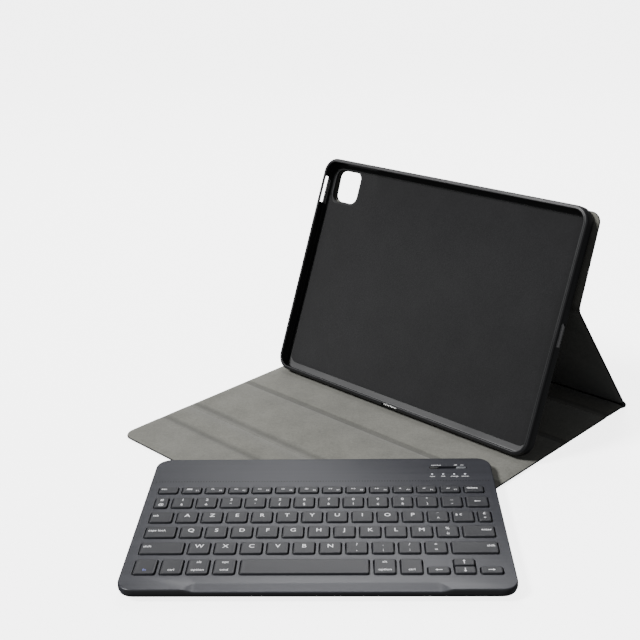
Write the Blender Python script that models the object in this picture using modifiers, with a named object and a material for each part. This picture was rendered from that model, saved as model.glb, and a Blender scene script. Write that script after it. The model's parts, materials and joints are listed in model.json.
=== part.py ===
"""Tablet keyboard case: a folding cover with a tablet tray, and its separate keyboard.

Units in the driving dimensions are millimetres; objects are built in metres.
The case lies along X, the user sits at -Y, and Z is up. The origin is on the table,
under the front lower edge of the tray, half way along the case.
"""
import math

import bmesh
import bpy
from mathutils import Matrix, Vector

MM = 0.001
COLLECTION_NAME = "tablet_keyboard_case"

# Cover: one sheet sandwich of skin, board and lining, folded at creases
COVER_WIDTH = 258.0
SKIN = 0.9
BOARD = 0.7
LINING = 0.7
PLY_GAP = 0.2
COVER_THICKNESS = SKIN + BOARD + LINING + 2 * PLY_GAP
COVER_MIDDLE = COVER_THICKNESS / 2
BOARD_MARGIN = 5.0
BOARD_CORNER_RADIUS = 2.0
CREASE_HALF = 2.0
SHARP_CREASE_HALF = 3.2

# Creases of the flat part, as distances along Y
FLAP_EDGE_Y = -160.0
FLAP_CREASE_Y = -119.5
STRIP_CREASE_Y = -89.0
SPINE_CREASE_Y = 110.0
SPINE_WIDTH = 26.0
FLAP_TAPER = 3.0
FLAP_CORNER_RADIUS = 9.0
PANEL_CORNER_RADIUS = 8.0
BACK_PANEL_LENGTH = 70.0

# Magnets that hold the flap shut, in pockets of its board
MAGNET_SIZE = (20.0, 6.0)
MAGNET_FROM_CENTRE = 80.0
MAGNET_FROM_TIP = 14.0
MAGNET_POCKET_GAP = 0.3

# Tray that holds the tablet, leaning back
TRAY_TILT = math.radians(68.2)
TRAY_LENGTH = 252.0
TRAY_HEIGHT = 182.5
TRAY_DEPTH = 10.5
TRAY_CORNER_RADIUS = 12.0
TRAY_EDGE_ROUND = 2.2
TABLET_LENGTH = 248.2
TABLET_HEIGHT = 179.0
TABLET_CORNER_RADIUS = 10.0
TRAY_BACK_WALL = 1.8
TRAY_LIP_DEPTH = 1.4
TRAY_LIP_OVERHANG = 1.3
TRAY_CLEARANCE = 0.3
PORT_LENGTH = 17.0
PORT_HEIGHT = 5.0
VOLUME_SLOT_LENGTH = 34.0
POWER_SLOT_LENGTH = 22.0
BUTTON_SLOT_FROM_CORNER = 16.0
WALL_CUT_IN = 8.0
WALL_CUT_OUT = 5.0
CAMERA_WINDOW = 26.0
CAMERA_WINDOW_RADIUS = 6.0
CAMERA_FROM_SIDE = 22.0
CAMERA_FROM_TOP = 21.0
CAMERA_CUT = 6.0

# Crease between strut and back panel, measured in the tray's own frame
BACK_CREASE_UP = 111.0
BACK_CREASE_BEHIND = 16.0
BACK_PANEL_TOP_BEHIND = 12.2

# Foot: a round steel bar in a notch of the tray's lower front edge
FOOT_BAR_DIAMETER = 1.8
FOOT_BAR_LENGTH = 14.0
FOOT_UP = 1.5
FOOT_BEHIND = 2.6
FOOT_NOTCH_CLEARANCE = 0.4
FOOT_NOTCH_EXTRA = 0.6
CUT_OVER = 1.0

# Keyboard, in its own frame: X along the keys, Y towards the back bar
KEYBOARD_CENTRE = Vector((74.2, -153.0, 0.0))
KEYBOARD_TURN = math.radians(42.4)
KEYBOARD_WIDTH = 234.0
KEYBOARD_DEPTH = 156.0
KEYBOARD_CORNER_RADIUS = 10.0
KEYBOARD_CLEARANCE = 0.3
FOOT_PAD_SIZE = (16.0, 5.0)
FOOT_PAD_FROM_SIDE = 22.0
FOOT_PAD_FROM_EDGE = 12.0
FOOT_PAD_HEIGHT = 0.5
BOTTOM_COVER_LOW = 0.7
BOTTOM_COVER_THICKNESS = 1.0
BOTTOM_COVER_STEP = 0.6
DECK_BOTTOM = 1.9
DECK_TOP = 6.0
DECK_PLATE = 1.2
DECK_WALL = 1.8
KEY_BOTTOM = 4.1
KEY_TOP = 7.1
KEY_TAPER = 0.55
KEY_CORNER = 1.1
KEY_HOLE_CLEARANCE = 0.5
ROW_WEB_THICKNESS = 0.5
ROW_WEB_DEPTH = 3.0

KEY_WIDTH = 13.6
FUNCTION_KEY_WIDTH = 13.25
MODIFIER_KEY_WIDTH = 13.3
KEY_GAP = 2.5
KEY_FIELD_LEFT = -109.6
KEY_DEPTH = 13.0
FUNCTION_KEY_DEPTH = 8.6
BOTTOM_KEY_DEPTH = 15.6
ROW_CENTRES = {
    "function": 34.0,
    "number": 17.9,
    "upper": -0.1,
    "home": -17.7,
    "lower": -35.7,
    "bottom": -55.6,
}
# Each entry is (node name, width); a repeat of KEY_WIDTH keys belongs to the row's own node
SPECIAL_WIDTHS = {
    "function": [("key_esc", FUNCTION_KEY_WIDTH), ("row", 12, FUNCTION_KEY_WIDTH),
                 ("key_delete", FUNCTION_KEY_WIDTH)],
    "number": [("row", 1, 9.0), ("row", 12, KEY_WIDTH), ("key_backspace", 14.5)],
    "upper": [("key_tab", 14.8), ("row", 12, KEY_WIDTH), ("row", 1, 8.6)],
    "home": [("key_caps", 19.6), ("row", 11, KEY_WIDTH), ("key_enter", 20.0)],
    "lower": [("key_shift_left", 27.2), ("row", 10, KEY_WIDTH), ("key_shift_right", 28.5)],
}
BOTTOM_KEYS = [
    ("key_fn", KEY_WIDTH), ("key_ctrl_left", MODIFIER_KEY_WIDTH),
    ("key_option_left", MODIFIER_KEY_WIDTH), ("key_command", MODIFIER_KEY_WIDTH),
    ("key_space", 77.1), ("key_option_right", MODIFIER_KEY_WIDTH),
    ("key_ctrl_right", MODIFIER_KEY_WIDTH), ("key_left", MODIFIER_KEY_WIDTH),
    ("key_up_down", 12.8), ("key_right", MODIFIER_KEY_WIDTH),
]
ARROW_KEY_DEPTH = 7.4

# Controls on the back bar
SLOT_CENTRE = (87.0, 64.2)
SLOT_LENGTH = 26.0
SLOT_WIDTH = 3.4
SLIDER_LENGTH = 7.0
CONNECT_LENGTH = 6.0
CONTROL_CLEARANCE = 0.35
CONTROL_PROUD = 0.35
INDICATOR_X = (75.5, 83.0, 90.5, 98.0)
INDICATOR_Y = 55.3
INDICATOR_RADIUS = 0.7
INDICATOR_CLEARANCE = 0.25
INDICATOR_PROUD = 0.05

# Finger lip scooped out of the deck's front edge
LIP_LENGTH = 152.0
LIP_DEPTH = 7.0
LIP_DROP = 1.9
LIP_END_SLOPE = 8.0

# Inside the keyboard: gap to the deck's wall, then (low, high) along X or Z of each part
INSIDE_GAP = 1.2
INSIDE_CORNER_RADIUS = 7.5
KEY_FIELD_BACK = 7.0
BAY_GAP = 2.0
KEY_PLATE_LEVELS = (2.0, 2.4)
MEMBRANE_LEVELS = (2.6, 2.9)
BATTERY_X = (-100.0, -20.0)
BATTERY_LEVELS = (2.1, 4.4)
CIRCUIT_X = (0.0, 105.0)
CIRCUIT_LEVELS = (2.1, 2.9)
CIRCUIT_FROM_BACK = 12.0
LIGHT_BAR_MARGIN = (2.0, 1.5)
LIGHT_BAR_THICKNESS = 0.8
LIGHT_BAR_GAP = 0.2

# Charging socket in the back edge
USB_X = 60.0
USB_WIDTH = 8.4
USB_DEPTH = 6.5
USB_HEIGHT = 2.2
USB_LOW = 2.4
USB_WALL = 0.4
USB_SETBACK = 0.4

COLOURS = {
    "skin": ((0.024, 0.025, 0.027), 0.55, 0.0),
    "board": ((0.30, 0.27, 0.23), 0.9, 0.0),
    "lining": ((0.22, 0.22, 0.19), 0.95, 0.0),
    "tray": ((0.012, 0.012, 0.013), 0.4, 0.0),
    "steel": ((0.62, 0.62, 0.60), 0.3, 1.0),
    "magnet": ((0.45, 0.45, 0.46), 0.35, 1.0),
    "deck": ((0.055, 0.055, 0.065), 0.38, 0.3),
    "key": ((0.050, 0.050, 0.058), 0.45, 0.0),
    "cover_plastic": ((0.018, 0.018, 0.020), 0.6, 0.0),
    "rubber": ((0.02, 0.02, 0.02), 0.8, 0.0),
    "membrane": ((0.55, 0.56, 0.55), 0.6, 0.0),
    "circuit": ((0.02, 0.12, 0.06), 0.5, 0.0),
    "battery": ((0.32, 0.33, 0.35), 0.4, 0.4),
    "lamp": ((0.75, 0.75, 0.78), 0.2, 0.0),
}


def clear_scene():
    for obj in list(bpy.data.objects):
        bpy.data.objects.remove(obj, do_unlink=True)


def new_collection(name):
    collection = bpy.data.collections.new(name)
    bpy.context.scene.collection.children.link(collection)
    return collection


def material(kind):
    """One Principled material for each kind of stuff, made on first use."""
    name = "mat_" + kind
    found = bpy.data.materials.get(name)
    if found:
        return found
    colour, roughness, metallic = COLOURS[kind]
    made = bpy.data.materials.new(name)
    made.use_nodes = True
    shader = made.node_tree.nodes["Principled BSDF"]
    shader.inputs["Base Color"].default_value = (*colour, 1.0)
    shader.inputs["Roughness"].default_value = roughness
    shader.inputs["Metallic"].default_value = metallic
    return made


def add_empty(name, location, parent=None, tilt=0.0, turn=0.0):
    """An empty on a joint's axis: tilt turns it about X, turn about Z."""
    empty = bpy.data.objects.new(name, None)
    parts.objects.link(empty)
    empty.parent = parent
    empty.location = Vector(location) * MM
    empty.rotation_euler = (tilt, 0.0, turn)
    empty.empty_display_size = 10 * MM
    return empty


def add_object(name, mesh, kind, parent=None):
    obj = bpy.data.objects.new(name, mesh)
    parts.objects.link(obj)
    obj.parent = parent
    if kind:
        mesh.materials.append(material(kind))
    return obj


def vertical_edges(bm, keep=None):
    """Edges that run along Z, and whose middle passes the test keep."""
    chosen = []
    for edge in bm.edges:
        first, second = (vert.co for vert in edge.verts)
        upright = abs(first.z - second.z) > 0.9 * (first - second).length
        if upright and (keep is None or keep((first + second) / 2)):
            chosen.append(edge)
    return chosen


def block_mesh(name, low, high, radius=0.0, segments=4, keep=None, shape=None):
    """A box from low to high, its upright edges rounded; shape may move its corners first."""
    low = Vector(low)
    high = Vector(high)
    bm = bmesh.new()
    bmesh.ops.create_cube(bm, size=1.0)
    size = high - low
    middle = (high + low) / 2
    for vert in bm.verts:
        vert.co = Vector([vert.co[i] * size[i] + middle[i] for i in range(3)])
    if shape:
        for vert in bm.verts:
            vert.co = shape(vert.co)
    if radius > 0:
        edges = vertical_edges(bm, keep)
        bmesh.ops.bevel(bm, geom=edges, offset=radius, segments=segments, profile=0.5,
                        affect="EDGES", clamp_overlap=True)
    bmesh.ops.scale(bm, vec=(MM, MM, MM), verts=bm.verts)
    bmesh.ops.recalc_face_normals(bm, faces=bm.faces)
    mesh = bpy.data.meshes.new(name)
    bm.to_mesh(mesh)
    bm.free()
    return mesh


def add_block(name, low, high, kind, parent=None, **options):
    return add_object(name, block_mesh(name, low, high, **options), kind, parent)


def add_cutter(name, low, high, parent=None, **options):
    cutter = add_block("cut_" + name, low, high, None, parent, **options)
    parts.objects.unlink(cutter)
    cutters.objects.link(cutter)
    cutter.hide_render = True
    cutter.display_type = "WIRE"
    return cutter


def add_rod(name, radius, low_x, high_x, kind, parent, sides=16):
    """A round bar along X, centred on its parent's origin."""
    bm = bmesh.new()
    bmesh.ops.create_cone(bm, cap_ends=True, segments=sides, radius1=radius * MM,
                          radius2=radius * MM, depth=(high_x - low_x) * MM)
    bmesh.ops.rotate(bm, matrix=Matrix.Rotation(math.pi / 2, 3, "Y"), verts=bm.verts)
    bmesh.ops.translate(bm, vec=((low_x + high_x) / 2 * MM, 0.0, 0.0), verts=bm.verts)
    mesh = bpy.data.meshes.new(name)
    bm.to_mesh(mesh)
    bm.free()
    mesh.shade_smooth()
    mesh.set_sharp_from_angle(angle=math.radians(40))
    return add_object(name, mesh, kind, parent)


def combine(obj, other, operation):
    modifier = obj.modifiers.new(operation.lower() + "_" + other.name, "BOOLEAN")
    modifier.operation = operation
    modifier.object = other
    modifier.solver = "EXACT"
    return modifier


def cut(obj, cutter):
    combine(obj, cutter, "DIFFERENCE")


def cut_with_collection(obj, collection):
    modifier = obj.modifiers.new("openings", "BOOLEAN")
    modifier.operation = "DIFFERENCE"
    modifier.operand_type = "COLLECTION"
    modifier.collection = collection
    modifier.solver = "EXACT"


# ---------------------------------------------------------------- folding cover


def add_plies(prefix, length, parent, skin_side, near, far, board=True, **options):
    """Skin, board and lining of one panel that runs from near to length - far along local Y.

    skin_side is -1 where the skin is on the local -Z face, +1 where it is on +Z.
    """
    start = near
    end = length - far
    half = COVER_WIDTH / 2
    layers = {
        "skin": (-COVER_MIDDLE, -COVER_MIDDLE + SKIN),
        "board": (-COVER_MIDDLE + SKIN + PLY_GAP, -COVER_MIDDLE + SKIN + PLY_GAP + BOARD),
        "lining": (COVER_MIDDLE - LINING, COVER_MIDDLE),
    }
    made = {}
    for kind, (bottom, top) in layers.items():
        if kind == "board" and not board:
            continue
        if skin_side > 0:
            bottom, top = -top, -bottom
        margin = BOARD_MARGIN if kind == "board" else 0.0
        low = (-half + margin, min(start, end) + margin, bottom)
        high = (half - margin, max(start, end) - margin, top)
        settings = dict(options)
        if kind == "board":
            settings.pop("shape", None)
            settings["radius"] = BOARD_CORNER_RADIUS
            settings["segments"] = 2
            settings["keep"] = None
        made[kind] = add_block(prefix + "_" + kind, low, high, kind, parent, **settings)
    return made


def add_base():
    """The flat front cover, and the spine, strip and flap that fold off it."""
    frame = add_empty("front_cover_frame", (0, STRIP_CREASE_Y, COVER_MIDDLE))
    length = SPINE_CREASE_Y - STRIP_CREASE_Y
    add_plies("front_cover", length, frame, -1, CREASE_HALF, CREASE_HALF)

    spine_axis = add_empty("spine_axis", (0, SPINE_CREASE_Y, COVER_MIDDLE))
    add_plies("spine", SPINE_WIDTH, spine_axis, -1, CREASE_HALF, SHARP_CREASE_HALF)

    strip_axis = add_empty("strip_axis", (0, STRIP_CREASE_Y, COVER_MIDDLE))
    strip_length = FLAP_CREASE_Y - STRIP_CREASE_Y
    add_plies("edge_strip", strip_length, strip_axis, -1, -CREASE_HALF, -CREASE_HALF, board=False)

    flap_axis = add_empty("flap_axis", (0, FLAP_CREASE_Y, COVER_MIDDLE))
    flap_length = FLAP_EDGE_Y - FLAP_CREASE_Y
    tip = flap_length / 2

    def taper(corner):
        if corner.y < tip:
            corner.x -= math.copysign(FLAP_TAPER, corner.x)
        return corner

    flap = add_plies("flap", flap_length, flap_axis, -1, -CREASE_HALF, 0.0,
                     radius=FLAP_CORNER_RADIUS, segments=5, shape=taper,
                     keep=lambda middle: middle.y < tip)
    for side, sign in (("left", -1), ("right", 1)):
        add_flap_magnet(side, sign, flap["board"], flap_axis, flap_length)


def add_flap_magnet(side, sign, board, axis, flap_length):
    """A thin magnet in a pocket cut through the flap's board."""
    centre_x = sign * MAGNET_FROM_CENTRE
    centre_y = flap_length + MAGNET_FROM_TIP
    half_x, half_y = MAGNET_SIZE[0] / 2, MAGNET_SIZE[1] / 2
    bottom = -COVER_MIDDLE + SKIN + PLY_GAP
    low = (centre_x - half_x, centre_y - half_y, bottom)
    high = (centre_x + half_x, centre_y + half_y, bottom + BOARD)
    add_block("flap_magnet_" + side, low, high, "magnet", axis)
    pocket = add_cutter("magnet_pocket_" + side,
                        (low[0] - MAGNET_POCKET_GAP, low[1] - MAGNET_POCKET_GAP, low[2] - 1.0),
                        (high[0] + MAGNET_POCKET_GAP, high[1] + MAGNET_POCKET_GAP, high[2] + 1.0),
                        axis)
    cut(board, pocket)


# ---------------------------------------------------------------- tray and stand


def tray_point(up, behind):
    """World (y, z) of a point up the tray's face and behind it, in mm."""
    rest_height = COVER_THICKNESS + TRAY_CLEARANCE + TRAY_DEPTH * math.cos(TRAY_TILT)
    return (up * math.cos(TRAY_TILT) + behind * math.sin(TRAY_TILT),
            rest_height + up * math.sin(TRAY_TILT) - behind * math.cos(TRAY_TILT))


def add_tray():
    """The tray frame's origin is the foot bar's axis, its Y runs up the face, its Z out of it."""
    foot_y, foot_z = tray_point(FOOT_UP, FOOT_BEHIND)
    frame = add_empty("tray_axis", (0, foot_y, foot_z), tilt=TRAY_TILT)

    def place(x, up, behind):
        return (x, up - FOOT_UP, FOOT_BEHIND - behind)

    half = TRAY_LENGTH / 2
    tray = add_block("tray_shell", place(-half, 0.0, TRAY_DEPTH), place(half, TRAY_HEIGHT, 0.0),
                     "tray", frame, radius=TRAY_CORNER_RADIUS, segments=6)
    rounding = tray.modifiers.new("edge_round", "BEVEL")
    rounding.width = TRAY_EDGE_ROUND * MM
    rounding.segments = 3
    rounding.limit_method = "ANGLE"
    rounding.angle_limit = math.radians(60)

    side = TABLET_LENGTH / 2
    edge = (TRAY_HEIGHT - TABLET_HEIGHT) / 2
    pocket = add_cutter("tablet_pocket",
                        place(-side, edge, TRAY_DEPTH - TRAY_BACK_WALL),
                        place(side, TRAY_HEIGHT - edge, TRAY_LIP_DEPTH),
                        frame, radius=TABLET_CORNER_RADIUS, segments=6)
    window = add_cutter("screen_window",
                        place(-side + TRAY_LIP_OVERHANG, edge + TRAY_LIP_OVERHANG,
                              TRAY_LIP_DEPTH + CUT_OVER),
                        place(side - TRAY_LIP_OVERHANG, TRAY_HEIGHT - edge - TRAY_LIP_OVERHANG,
                              -WALL_CUT_OUT),
                        frame, radius=TABLET_CORNER_RADIUS - TRAY_LIP_OVERHANG, segments=6)
    middle_up = TRAY_HEIGHT / 2
    middle_behind = TRAY_DEPTH / 2
    port_behind = (middle_behind + PORT_HEIGHT / 2, middle_behind - PORT_HEIGHT / 2)
    corner = BUTTON_SLOT_FROM_CORNER
    port = add_cutter("charging_port",
                      place(half - WALL_CUT_IN, middle_up - PORT_LENGTH / 2, port_behind[0]),
                      place(half + WALL_CUT_OUT, middle_up + PORT_LENGTH / 2, port_behind[1]),
                      frame)
    volume = add_cutter("volume_slot",
                        place(-half + corner, TRAY_HEIGHT - WALL_CUT_IN, port_behind[0]),
                        place(-half + corner + VOLUME_SLOT_LENGTH, TRAY_HEIGHT + WALL_CUT_OUT,
                              port_behind[1]), frame)
    power = add_cutter("power_slot",
                       place(-half - WALL_CUT_OUT, TRAY_HEIGHT - corner - POWER_SLOT_LENGTH,
                             port_behind[0]),
                       place(-half + WALL_CUT_IN, TRAY_HEIGHT - corner, port_behind[1]), frame)
    notch_radius = FOOT_BAR_DIAMETER / 2 + FOOT_NOTCH_CLEARANCE
    notch_length = FOOT_BAR_LENGTH + 2 * FOOT_NOTCH_CLEARANCE
    notch = add_cutter("foot_notch",
                       (-notch_length / 2, -FOOT_UP - WALL_CUT_OUT, -notch_radius),
                       (notch_length / 2, notch_radius, notch_radius + FOOT_NOTCH_EXTRA), frame)
    camera_low = (-half + CAMERA_FROM_SIDE - CAMERA_WINDOW / 2,
                  TRAY_HEIGHT - CAMERA_FROM_TOP - CAMERA_WINDOW / 2)
    camera_high = (camera_low[0] + CAMERA_WINDOW, camera_low[1] + CAMERA_WINDOW)
    camera = add_cutter("camera_window",
                        place(camera_low[0], camera_low[1], TRAY_DEPTH + 2 * CAMERA_CUT),
                        place(camera_high[0], camera_high[1], TRAY_DEPTH - CAMERA_CUT),
                        frame, radius=CAMERA_WINDOW_RADIUS, segments=4)
    for cutter in (pocket, window, port, volume, power, notch, camera):
        cut(tray, cutter)

    add_rod("foot_bar", FOOT_BAR_DIAMETER / 2, -FOOT_BAR_LENGTH / 2, FOOT_BAR_LENGTH / 2,
            "steel", frame)
    return camera


def add_stand(camera):
    """The back panel is fixed behind the tray; the strut hinges from its lower crease."""
    crease_y, crease_z = tray_point(BACK_CREASE_UP, BACK_CREASE_BEHIND)
    lean = math.asin((BACK_CREASE_BEHIND - BACK_PANEL_TOP_BEHIND) / BACK_PANEL_LENGTH)
    panel_frame = add_empty("back_panel_frame", (0, crease_y, crease_z), tilt=TRAY_TILT + lean)
    top = BACK_PANEL_LENGTH / 2
    panel = add_plies("back_panel", BACK_PANEL_LENGTH, panel_frame, -1, CREASE_HALF, 0.0,
                      radius=PANEL_CORNER_RADIUS, segments=5,
                      keep=lambda middle: middle.y > top)
    for ply in panel.values():
        cut(ply, camera)

    foot_y, foot_z = SPINE_CREASE_Y + SPINE_WIDTH, COVER_MIDDLE
    slope = math.atan2(foot_z - crease_z, foot_y - crease_y)
    length = math.hypot(foot_y - crease_y, foot_z - crease_z)
    strut_axis = add_empty("strut_axis", (0, crease_y, crease_z), tilt=slope)
    add_plies("strut", length, strut_axis, 1, CREASE_HALF, SHARP_CREASE_HALF)


# ---------------------------------------------------------------- keyboard


def key_block_mesh(name, low_x, high_x, low_y, high_y):
    """One key cap, a little smaller on top, with rounded upright corners."""
    middle = Vector(((low_x + high_x) / 2, (low_y + high_y) / 2, 0.0))

    def narrow(corner):
        if corner.z > (KEY_BOTTOM + KEY_TOP) / 2:
            corner.x -= math.copysign(KEY_TAPER, corner.x - middle.x)
            corner.y -= math.copysign(KEY_TAPER, corner.y - middle.y)
        return corner

    return block_mesh(name, (low_x, low_y, KEY_BOTTOM), (high_x, high_y, KEY_TOP),
                      radius=KEY_CORNER, segments=1, shape=narrow)


def row_spans(row):
    """(node name, low x, high x) of each key of one row, from left to right."""
    spans = []
    left = KEY_FIELD_LEFT
    for entry in SPECIAL_WIDTHS[row]:
        count = entry[1] if entry[0] == "row" else 1
        for _ in range(count):
            name = row + "_row_keys" if entry[0] == "row" else entry[0]
            spans.append((name, left, left + entry[-1]))
            left += entry[-1] + KEY_GAP
    return spans


def all_keys():
    """(node name, low x, high x, low y, high y) of every key."""
    keys = []
    for row in SPECIAL_WIDTHS:
        depth = FUNCTION_KEY_DEPTH if row == "function" else KEY_DEPTH
        middle = ROW_CENTRES[row]
        for name, low_x, high_x in row_spans(row):
            keys.append((name, low_x, high_x, middle - depth / 2, middle + depth / 2))
    left = KEY_FIELD_LEFT
    front = ROW_CENTRES["bottom"] - BOTTOM_KEY_DEPTH / 2
    back = front + BOTTOM_KEY_DEPTH
    for name, width in BOTTOM_KEYS:
        if name == "key_up_down":
            keys.append(("key_up", left, left + width, back - ARROW_KEY_DEPTH, back))
            keys.append(("key_down", left, left + width, front, front + ARROW_KEY_DEPTH))
        elif name in ("key_left", "key_right"):
            keys.append((name, left, left + width, front, front + ARROW_KEY_DEPTH))
        else:
            keys.append((name, left, left + width, front, back))
        left += width + KEY_GAP
    return keys


def add_keys(frame, openings):
    """Single keys are nodes of their own; the letter and number keys of a row share one node."""
    rows = {}
    for index, (name, low_x, high_x, low_y, high_y) in enumerate(all_keys()):
        gap = KEY_HOLE_CLEARANCE
        hole = add_cutter("key_hole_%02d" % index,
                          (low_x - gap, low_y - gap, DECK_TOP - DECK_PLATE - CUT_OVER),
                          (high_x + gap, high_y + gap, DECK_TOP + CUT_OVER), frame)
        cutters.objects.unlink(hole)
        openings.objects.link(hole)
        if name.endswith("_row_keys"):
            rows.setdefault(name, []).append((low_x, high_x, low_y, high_y))
        else:
            add_object(name, key_block_mesh(name, low_x, high_x, low_y, high_y), "key", frame)
    for name, spans in rows.items():
        add_key_row(name, spans, frame)


def add_key_row(name, spans, frame):
    """Keys of one row, joined under the deck by the thin web that they are moulded on."""
    low_x = min(span[0] for span in spans) + KEY_CORNER
    high_x = max(span[1] for span in spans) - KEY_CORNER
    middle = (spans[0][2] + spans[0][3]) / 2
    web = add_block(name, (low_x, middle - ROW_WEB_DEPTH / 2, KEY_BOTTOM),
                    (high_x, middle + ROW_WEB_DEPTH / 2, KEY_BOTTOM + ROW_WEB_THICKNESS),
                    "key", frame)
    caps = bpy.data.collections.new("cut_" + name)
    cutters.children.link(caps)
    for index, span in enumerate(spans):
        cap_name = "cut_%s_%02d" % (name, index)
        cap = bpy.data.objects.new(cap_name, key_block_mesh(cap_name, *span))
        cap.parent = frame
        cap.hide_render = True
        cap.display_type = "WIRE"
        caps.objects.link(cap)
    union = web.modifiers.new("caps", "BOOLEAN")
    union.operation = "UNION"
    union.operand_type = "COLLECTION"
    union.collection = caps
    union.solver = "EXACT"


def add_deck(frame, openings):
    """Top shell of the keyboard: plate and side walls, open below."""
    half_x, half_y = KEYBOARD_WIDTH / 2, KEYBOARD_DEPTH / 2
    deck = add_block("keyboard_deck", (-half_x, -half_y, DECK_BOTTOM), (half_x, half_y, DECK_TOP),
                     "deck", frame, radius=KEYBOARD_CORNER_RADIUS, segments=6)
    inner_x, inner_y = half_x - DECK_WALL, half_y - DECK_WALL
    inner_radius = KEYBOARD_CORNER_RADIUS - DECK_WALL
    hollow = add_cutter("deck_hollow", (-inner_x, -inner_y + LIP_DEPTH, DECK_BOTTOM - CUT_OVER),
                        (inner_x, inner_y, DECK_TOP - DECK_PLATE), frame,
                        radius=inner_radius, segments=4)
    lip_half = LIP_LENGTH / 2

    def slope_ends(corner):
        if corner.z > DECK_TOP - LIP_DROP / 2:
            corner.x += math.copysign(LIP_END_SLOPE, corner.x)
            corner.y += LIP_DEPTH / 2
        return corner

    lip = add_cutter("finger_lip", (-lip_half, -half_y - LIP_DEPTH, DECK_TOP - LIP_DROP),
                     (lip_half, -half_y + LIP_DEPTH / 2, DECK_TOP + CUT_OVER), frame,
                     shape=slope_ends)
    cut(deck, hollow)
    cut(deck, lip)
    slot = add_cutter("switch_slot",
                      (SLOT_CENTRE[0] - SLOT_LENGTH / 2, SLOT_CENTRE[1] - SLOT_WIDTH / 2,
                       DECK_TOP - DECK_PLATE - CUT_OVER),
                      (SLOT_CENTRE[0] + SLOT_LENGTH / 2, SLOT_CENTRE[1] + SLOT_WIDTH / 2,
                       DECK_TOP + CUT_OVER), frame, radius=SLOT_WIDTH / 2 - 0.05, segments=4)
    cutters.objects.unlink(slot)
    openings.objects.link(slot)
    add_light_bar(frame, openings)
    room = USB_WALL
    usb = add_cutter("usb_opening",
                     (USB_X - USB_WIDTH / 2 - room, half_y - USB_DEPTH, USB_LOW - room),
                     (USB_X + USB_WIDTH / 2 + room, half_y + CUT_OVER,
                      USB_LOW + USB_HEIGHT + room), frame)
    cut(deck, usb)
    cut_with_collection(deck, openings)
    return deck


def add_light_bar(frame, openings):
    """Four light pipes on one clear bar under the deck plate."""
    bar_top = DECK_TOP - DECK_PLATE - LIGHT_BAR_GAP
    margin_x, margin_y = LIGHT_BAR_MARGIN
    bar = add_block("light_pipe_bar",
                    (INDICATOR_X[0] - margin_x, INDICATOR_Y - margin_y,
                     bar_top - LIGHT_BAR_THICKNESS),
                    (INDICATOR_X[-1] + margin_x, INDICATOR_Y + margin_y, bar_top), "lamp", frame)
    for index, x in enumerate(INDICATOR_X):
        pin = round_cutter("light_pin_%d" % index, x, INDICATOR_RADIUS,
                           bar_top - LIGHT_BAR_THICKNESS / 2, DECK_TOP + INDICATOR_PROUD, frame)
        combine(bar, pin, "UNION")
        hole = round_cutter("light_hole_%d" % index, x, INDICATOR_RADIUS + INDICATOR_CLEARANCE,
                            DECK_TOP - DECK_PLATE - CUT_OVER, DECK_TOP + CUT_OVER, frame)
        cutters.objects.unlink(hole)
        openings.objects.link(hole)


def round_cutter(name, x, radius, bottom, top, frame):
    bm = bmesh.new()
    bmesh.ops.create_cone(bm, cap_ends=True, segments=10, radius1=radius * MM,
                          radius2=radius * MM, depth=(top - bottom) * MM)
    bmesh.ops.translate(bm, vec=(x * MM, INDICATOR_Y * MM, (top + bottom) / 2 * MM),
                        verts=bm.verts)
    mesh = bpy.data.meshes.new("cut_" + name)
    bm.to_mesh(mesh)
    bm.free()
    cutter = bpy.data.objects.new("cut_" + name, mesh)
    cutter.parent = frame
    cutter.hide_render = True
    cutter.display_type = "WIRE"
    cutters.objects.link(cutter)
    return cutter


def add_controls(frame):
    """The sliding power switch and the connect button, side by side in the oval slot."""
    bottom = DECK_TOP - DECK_PLATE + 0.1
    top = DECK_TOP + CONTROL_PROUD
    half_width = SLOT_WIDTH / 2 - CONTROL_CLEARANCE
    ends = SLOT_LENGTH / 2 - CONTROL_CLEARANCE
    for name, low_x, length, kind in (
            ("connect_button", SLOT_CENTRE[0] - ends, CONNECT_LENGTH, "rubber"),
            ("power_slider", SLOT_CENTRE[0] + ends - SLIDER_LENGTH, SLIDER_LENGTH, "lamp")):
        add_block(name, (low_x, SLOT_CENTRE[1] - half_width, bottom),
                  (low_x + length, SLOT_CENTRE[1] + half_width, top), kind, frame,
                  radius=half_width - 0.1, segments=3)


def add_inside(frame):
    """What the keyboard holds: key plate, membrane, board, battery and charging socket."""
    half_x, half_y = KEYBOARD_WIDTH / 2, KEYBOARD_DEPTH / 2
    inset = DECK_WALL + INSIDE_GAP
    front = -half_y + LIP_DEPTH + inset
    keys_back = ROW_CENTRES["function"] + KEY_FIELD_BACK
    for name, (low, high), kind in (("key_plate", KEY_PLATE_LEVELS, "steel"),
                                    ("key_membrane", MEMBRANE_LEVELS, "membrane")):
        add_block(name, (-half_x + inset, front, low), (half_x - inset, keys_back, high), kind,
                  frame, radius=INSIDE_CORNER_RADIUS, segments=4)
    bay_front = keys_back + BAY_GAP
    add_block("battery", (BATTERY_X[0], bay_front, BATTERY_LEVELS[0]),
              (BATTERY_X[1], half_y - inset - BAY_GAP, BATTERY_LEVELS[1]), "battery", frame,
              radius=1.5, segments=2)
    add_block("circuit_board", (CIRCUIT_X[0], bay_front, CIRCUIT_LEVELS[0]),
              (CIRCUIT_X[1], half_y - CIRCUIT_FROM_BACK, CIRCUIT_LEVELS[1]), "circuit", frame)
    low = Vector((USB_X - USB_WIDTH / 2, half_y - USB_SETBACK - USB_DEPTH, USB_LOW))
    high = low + Vector((USB_WIDTH, USB_DEPTH, USB_HEIGHT))
    wall = Vector((USB_WALL,) * 3)
    socket = add_block("usb_socket", low, high, "steel", frame)
    mouth = add_cutter("usb_mouth", low + wall, high - wall + Vector((0, CUT_OVER, 0)), frame)
    cut(socket, mouth)


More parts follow.
